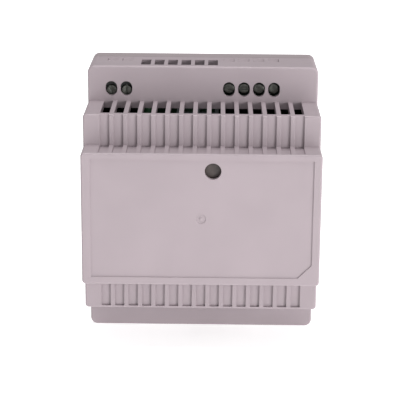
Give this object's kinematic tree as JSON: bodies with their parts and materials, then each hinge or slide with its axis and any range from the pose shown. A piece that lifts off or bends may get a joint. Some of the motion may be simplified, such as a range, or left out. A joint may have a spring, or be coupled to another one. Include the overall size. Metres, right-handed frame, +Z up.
{
  "type": "din rail power supply",
  "caption": "Stepped plastic housing with ribbed vent bands, screw terminals along its top shoulder and a sprung latch at the back that grips a 35 mm DIN rail",
  "frame": {"origin": "middle of the seat at the back that rests on the front of the DIN rail, on the rail's centre line", "axes": "+X to the right seen from the front, +Y back towards the wall, +Z up"},
  "size_m": [0.078, 0.056, 0.093],
  "materials": {
    "housing_plastic": "fine spark-eroded texture, satin",
    "base_plastic": "fine spark-eroded texture, satin",
    "latch_plastic": "smooth black nylon",
    "spring_steel": "drawn wire",
    "input_block_plastic": "moulded, near black green",
    "output_block_plastic": "moulded, dark green",
    "screw_steel": "zinc plated",
    "contact_brass": "tinned brass",
    "board_laminate": "green solder mask on glass laminate",
    "moulded_black": "moulded epoxy or nylon",
    "smoked_lens": "smoked translucent",
    "led_resin": "diffused epoxy",
    "capacitor_sleeve": "shrunk plastic sleeve",
    "case_yellow": "moulded box",
    "coated_green": "dipped coating",
    "coated_blue": "dipped coating",
    "ferrite": "sintered ferrite",
    "copper_wire": "enamelled copper wire",
    "winding_tape": "polyester tape",
    "sink_aluminium": "bare extruded sheet"
  },
  "bodies": {
    "housing": {"front_cover": "housing_plastic", "rear_base": "base_plastic", "latch_spring": "spring_steel", "input_terminal_block": "input_block_plastic", "output_terminal_block": "output_block_plastic", "main_board": "board_laminate", "control_board": "board_laminate", "pwm_controller": "moulded_black", "status_led": "led_resin", "status_led_cap": "smoked_lens", "fuse": "moulded_black", "inrush_thermistor": "coated_green", "x_capacitor": "case_yellow", "choke_core": "ferrite", "choke_winding_line": "copper_wire", "choke_winding_neutral": "copper_wire", "bridge_rectifier": "moulded_black", "bulk_capacitor": "capacitor_sleeve", "transformer_core": "ferrite", "transformer_bobbin": "moulded_black", "transformer_winding": "winding_tape", "primary_heatsink": "sink_aluminium", "switching_transistor": "moulded_black", "heatsink_screw_1": "screw_steel", "secondary_heatsink": "sink_aluminium", "rectifier_diode": "moulded_black", "heatsink_screw_2": "screw_steel", "inductor_core": "coated_green", "inductor_winding": "copper_wire", "optocoupler": "moulded_black", "y_capacitor": "coated_blue", "board_screw_1": "screw_steel", "board_screw_2": "screw_steel", "board_screw_3": "screw_steel", "board_screw_4": "screw_steel", "output_capacitor_1": "capacitor_sleeve", "output_capacitor_2": "capacitor_sleeve", "output_capacitor_3": "capacitor_sleeve", "contact_bar_input_1": "contact_brass", "contact_bar_input_2": "contact_brass", "contact_bar_output_1": "contact_brass", "contact_bar_output_2": "contact_brass", "contact_bar_output_3": "contact_brass", "contact_bar_output_4": "contact_brass"},
    "rail_latch": {"rail_latch": "latch_plastic"},
    "clamp_screw_input_1": {"clamp_screw_input_1": "screw_steel"},
    "clamp_cage_input_1": {"clamp_cage_input_1": "screw_steel"},
    "clamp_screw_input_2": {"clamp_screw_input_2": "screw_steel"},
    "clamp_cage_input_2": {"clamp_cage_input_2": "screw_steel"},
    "clamp_screw_output_1": {"clamp_screw_output_1": "screw_steel"},
    "clamp_cage_output_1": {"clamp_cage_output_1": "screw_steel"},
    "clamp_screw_output_2": {"clamp_screw_output_2": "screw_steel"},
    "clamp_cage_output_2": {"clamp_cage_output_2": "screw_steel"},
    "clamp_screw_output_3": {"clamp_screw_output_3": "screw_steel"},
    "clamp_cage_output_3": {"clamp_cage_output_3": "screw_steel"},
    "clamp_screw_output_4": {"clamp_screw_output_4": "screw_steel"},
    "clamp_cage_output_4": {"clamp_cage_output_4": "screw_steel"}
  },
  "joints": [
    {"name": "latch_slide", "type": "slide", "parent": "housing", "child": "rail_latch", "axis": [0, 0, -1], "range_m": [0, 0.005], "stiffness_N_per_m": 800, "springref_m": -0.004, "deforming": ["latch_spring"]},
    {"name": "screw_input_1_turn", "type": "hinge", "parent": "housing", "child": "clamp_screw_input_1", "pos_m": [-0.031, -0.013, 0.0356], "axis": [0, 1, 0], "range_deg": [0, 1440]},
    {"name": "cage_input_1_rise", "type": "slide", "parent": "housing", "child": "clamp_cage_input_1", "axis": [0, -1, 0], "range_m": [0, 0.002]},
    {"name": "screw_input_2_turn", "type": "hinge", "parent": "housing", "child": "clamp_screw_input_2", "pos_m": [-0.02592, -0.013, 0.0356], "axis": [0, 1, 0], "range_deg": [0, 1440]},
    {"name": "cage_input_2_rise", "type": "slide", "parent": "housing", "child": "clamp_cage_input_2", "axis": [0, -1, 0], "range_m": [0, 0.002]},
    {"name": "screw_output_1_turn", "type": "hinge", "parent": "housing", "child": "clamp_screw_output_1", "pos_m": [0.00885, -0.013, 0.0362], "axis": [0, 1, 0], "range_deg": [0, 1440]},
    {"name": "cage_output_1_rise", "type": "slide", "parent": "housing", "child": "clamp_cage_output_1", "axis": [0, -1, 0], "range_m": [0, 0.002]},
    {"name": "screw_output_2_turn", "type": "hinge", "parent": "housing", "child": "clamp_screw_output_2", "pos_m": [0.01393, -0.013, 0.0362], "axis": [0, 1, 0], "range_deg": [0, 1440]},
    {"name": "cage_output_2_rise", "type": "slide", "parent": "housing", "child": "clamp_cage_output_2", "axis": [0, -1, 0], "range_m": [0, 0.002]},
    {"name": "screw_output_3_turn", "type": "hinge", "parent": "housing", "child": "clamp_screw_output_3", "pos_m": [0.01901, -0.013, 0.0362], "axis": [0, 1, 0], "range_deg": [0, 1440]},
    {"name": "cage_output_3_rise", "type": "slide", "parent": "housing", "child": "clamp_cage_output_3", "axis": [0, -1, 0], "range_m": [0, 0.002]},
    {"name": "screw_output_4_turn", "type": "hinge", "parent": "housing", "child": "clamp_screw_output_4", "pos_m": [0.02409, -0.013, 0.0362], "axis": [0, 1, 0], "range_deg": [0, 1440]},
    {"name": "cage_output_4_rise", "type": "slide", "parent": "housing", "child": "clamp_cage_output_4", "axis": [0, -1, 0], "range_m": [0, 0.002]}
  ],
  "couplings": [
    {"joint": "screw_input_1_turn", "follows": "cage_input_1_rise", "rad_per_m": 12566},
    {"joint": "screw_input_2_turn", "follows": "cage_input_2_rise", "rad_per_m": 12566},
    {"joint": "screw_output_1_turn", "follows": "cage_output_1_rise", "rad_per_m": 12566},
    {"joint": "screw_output_2_turn", "follows": "cage_output_2_rise", "rad_per_m": 12566},
    {"joint": "screw_output_3_turn", "follows": "cage_output_3_rise", "rad_per_m": 12566},
    {"joint": "screw_output_4_turn", "follows": "cage_output_4_rise", "rad_per_m": 12566}
  ]
}
